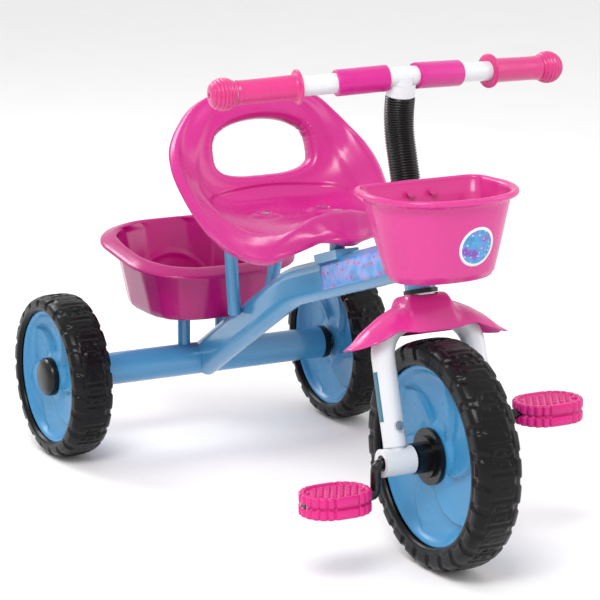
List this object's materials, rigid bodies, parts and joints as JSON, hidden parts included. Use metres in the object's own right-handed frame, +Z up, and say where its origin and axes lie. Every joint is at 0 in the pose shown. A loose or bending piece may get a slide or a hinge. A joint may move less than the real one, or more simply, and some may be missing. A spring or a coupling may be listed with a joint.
{
  "type": "children's tricycle",
  "caption": "Child's pedal tricycle: steered front wheel driven by its own cranks, bucket seat on a bent oval beam, front and rear baskets, front fender and ribbed grips.",
  "frame": {"origin": "on the ground under the middle of the tricycle's length and width", "axes": "+X forward, the way it rides; +Y to the rider's left; +Z up"},
  "size_m": [0.8462, 0.443, 0.5411],
  "materials": {
    "frame_blue": "gloss enamel",
    "fork_white": "gloss enamel",
    "seat_pink": "moulded, semi-gloss",
    "rear_basket_pink": "moulded, semi-gloss",
    "front_basket_pink": "moulded, semi-gloss",
    "grip_pink": "soft moulded",
    "foam_pink": "fine foam",
    "tyre_black": "matt moulded",
    "wheel_blue": "moulded, semi-gloss",
    "black_plastic": "moulded",
    "black_steel": "black enamel",
    "pedal_pink": "moulded",
    "plated_steel": "zinc plated"
  },
  "bodies": {
    "frame": {"main_beam": "frame_blue", "rear_axle_tube": "frame_blue", "head_tube": "frame_blue", "head_bush_upper": "black_plastic", "head_bush_lower": "black_plastic", "seat_strut_right": "frame_blue", "seat_strut_left": "frame_blue", "seat_cross_plate": "frame_blue", "seat_front_post": "frame_blue", "basket_post_right": "frame_blue", "basket_post_left": "frame_blue", "seat": "seat_pink", "seat_bolts": "plated_steel", "rear_basket": "rear_basket_pink", "rear_basket_screws": "plated_steel", "rear_axle_rod": "plated_steel", "axle_plug_right": "black_plastic", "axle_plug_left": "black_plastic", "axle_nuts": "plated_steel"},
    "steering": {"fork_steerer": "fork_white", "fork_leg_right": "fork_white", "fork_leg_left": "fork_white", "axle_housing_right": "fork_white", "axle_housing_left": "fork_white", "housing_bolts": "plated_steel", "crank_bush_right": "black_plastic", "crank_bush_left": "black_plastic", "steerer_nut": "plated_steel", "stem_tube": "fork_white", "stem_sleeve": "black_plastic", "handlebar_tube": "fork_white", "handlebar_neck": "fork_white", "foam_sleeve_right": "foam_pink", "foam_sleeve_left": "foam_pink", "grip_right": "grip_pink", "grip_left": "grip_pink", "front_basket": "front_basket_pink", "basket_bracket": "black_plastic", "front_basket_screws": "plated_steel", "fender": "front_basket_pink", "fender_screws": "plated_steel"},
    "front_wheel": {"front_tyre": "tyre_black", "front_rim_right": "wheel_blue", "front_rim_left": "wheel_blue", "front_hub_right": "black_plastic", "front_hub_left": "black_plastic", "crank": "black_steel", "pedal_nuts": "plated_steel"},
    "pedal_right": {"pedal_right": "pedal_pink"},
    "pedal_left": {"pedal_left": "pedal_pink"},
    "rear_wheel_right": {"rear_tyre_right": "tyre_black", "rear_rim_outer_right": "wheel_blue", "rear_rim_inner_right": "wheel_blue", "hub_cap_right": "black_plastic"},
    "rear_wheel_left": {"rear_tyre_left": "tyre_black", "rear_rim_outer_left": "wheel_blue", "rear_rim_inner_left": "wheel_blue", "hub_cap_left": "black_plastic"}
  },
  "joints": [
    {"name": "steering_turn", "type": "hinge", "parent": "frame", "child": "steering", "pos_m": [0.29607, 0, 0.127], "axis": [-0.2924, 0, 0.9563], "range_deg": [-45, 45]},
    {"name": "front_wheel_spin", "type": "hinge", "parent": "steering", "child": "front_wheel", "pos_m": [0.29607, 0, 0.127], "axis": [0, 1, 0], "continuous": true},
    {"name": "pedal_right_spin", "type": "hinge", "parent": "front_wheel", "child": "pedal_right", "pos_m": [0.29607, -0.133, 0.093], "axis": [0, 1, 0], "continuous": true},
    {"name": "pedal_left_spin", "type": "hinge", "parent": "front_wheel", "child": "pedal_left", "pos_m": [0.29607, 0.133, 0.161], "axis": [0, 1, 0], "continuous": true},
    {"name": "rear_wheel_right_spin", "type": "hinge", "parent": "frame", "child": "rear_wheel_right", "pos_m": [-0.29393, -0.1925, 0.1], "axis": [0, 1, 0], "continuous": true},
    {"name": "rear_wheel_left_spin", "type": "hinge", "parent": "frame", "child": "rear_wheel_left", "pos_m": [-0.29393, 0.1925, 0.1], "axis": [0, 1, 0], "continuous": true}
  ]
}
